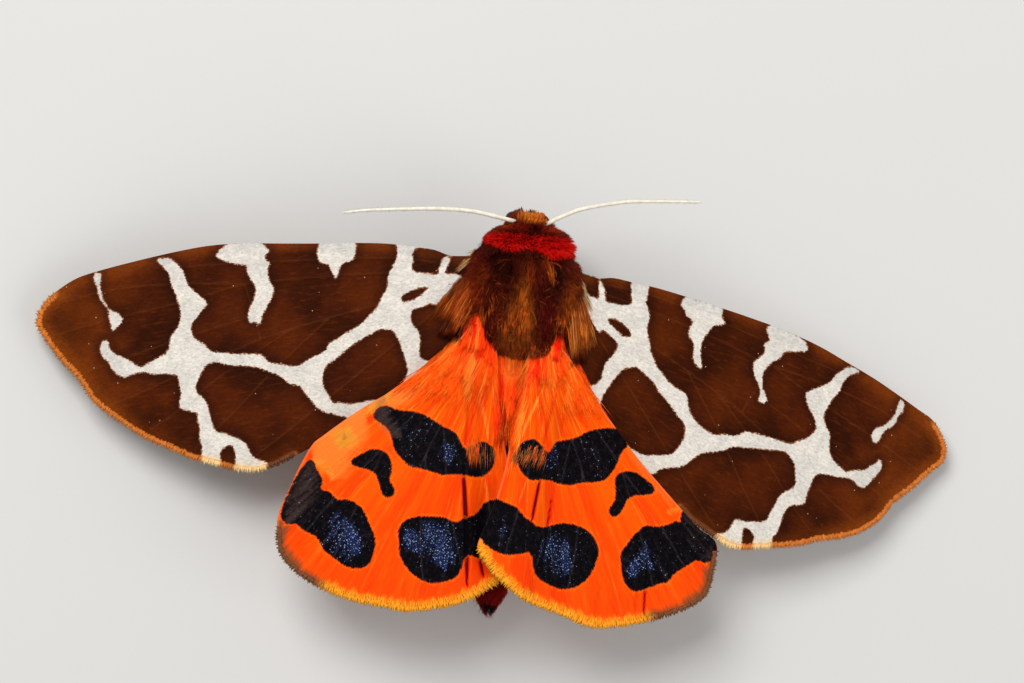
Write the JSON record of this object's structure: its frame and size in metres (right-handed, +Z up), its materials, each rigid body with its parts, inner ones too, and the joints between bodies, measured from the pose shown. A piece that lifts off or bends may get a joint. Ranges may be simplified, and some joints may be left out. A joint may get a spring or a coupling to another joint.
{
  "type": "garden tiger moth",
  "caption": "Still life-size garden tiger moth standing on its legs, furry body, slender feelers, patterned wings spread with the hindwings laid over the forewings.",
  "frame": {"origin": "on the floor, under the middle of the moth's box", "axes": "+X to the moth's right across the spread wings, +Y to its head, +Z up"},
  "size_m": [0.0661, 0.0309, 0.0111],
  "materials": {
    "forewing": "scaly brown and cream",
    "hindwing": "scaly orange with blue-black spots",
    "thorax": "long brown fur",
    "collar": "short red fur",
    "head": "short orange-brown fur",
    "eye": "glossy black",
    "antenna": "ivory, matte",
    "abdomen": "red-orange fur with dark bars",
    "leg": "short brown hair"
  },
  "bodies": {
    "root": {"forewing_left": "forewing", "forewing_right": "forewing", "hindwing_left": "hindwing", "hindwing_right": "hindwing", "thorax": "thorax", "collar": "collar", "head": "head", "eye_left": "eye", "eye_right": "eye", "antenna_left": "antenna", "antenna_right": "antenna", "abdomen": "abdomen", "foreleg_left": "leg", "foreleg_right": "leg", "midleg_left": "leg", "midleg_right": "leg", "hindleg_left": "leg", "hindleg_right": "leg"}
  },
  "joints": []
}
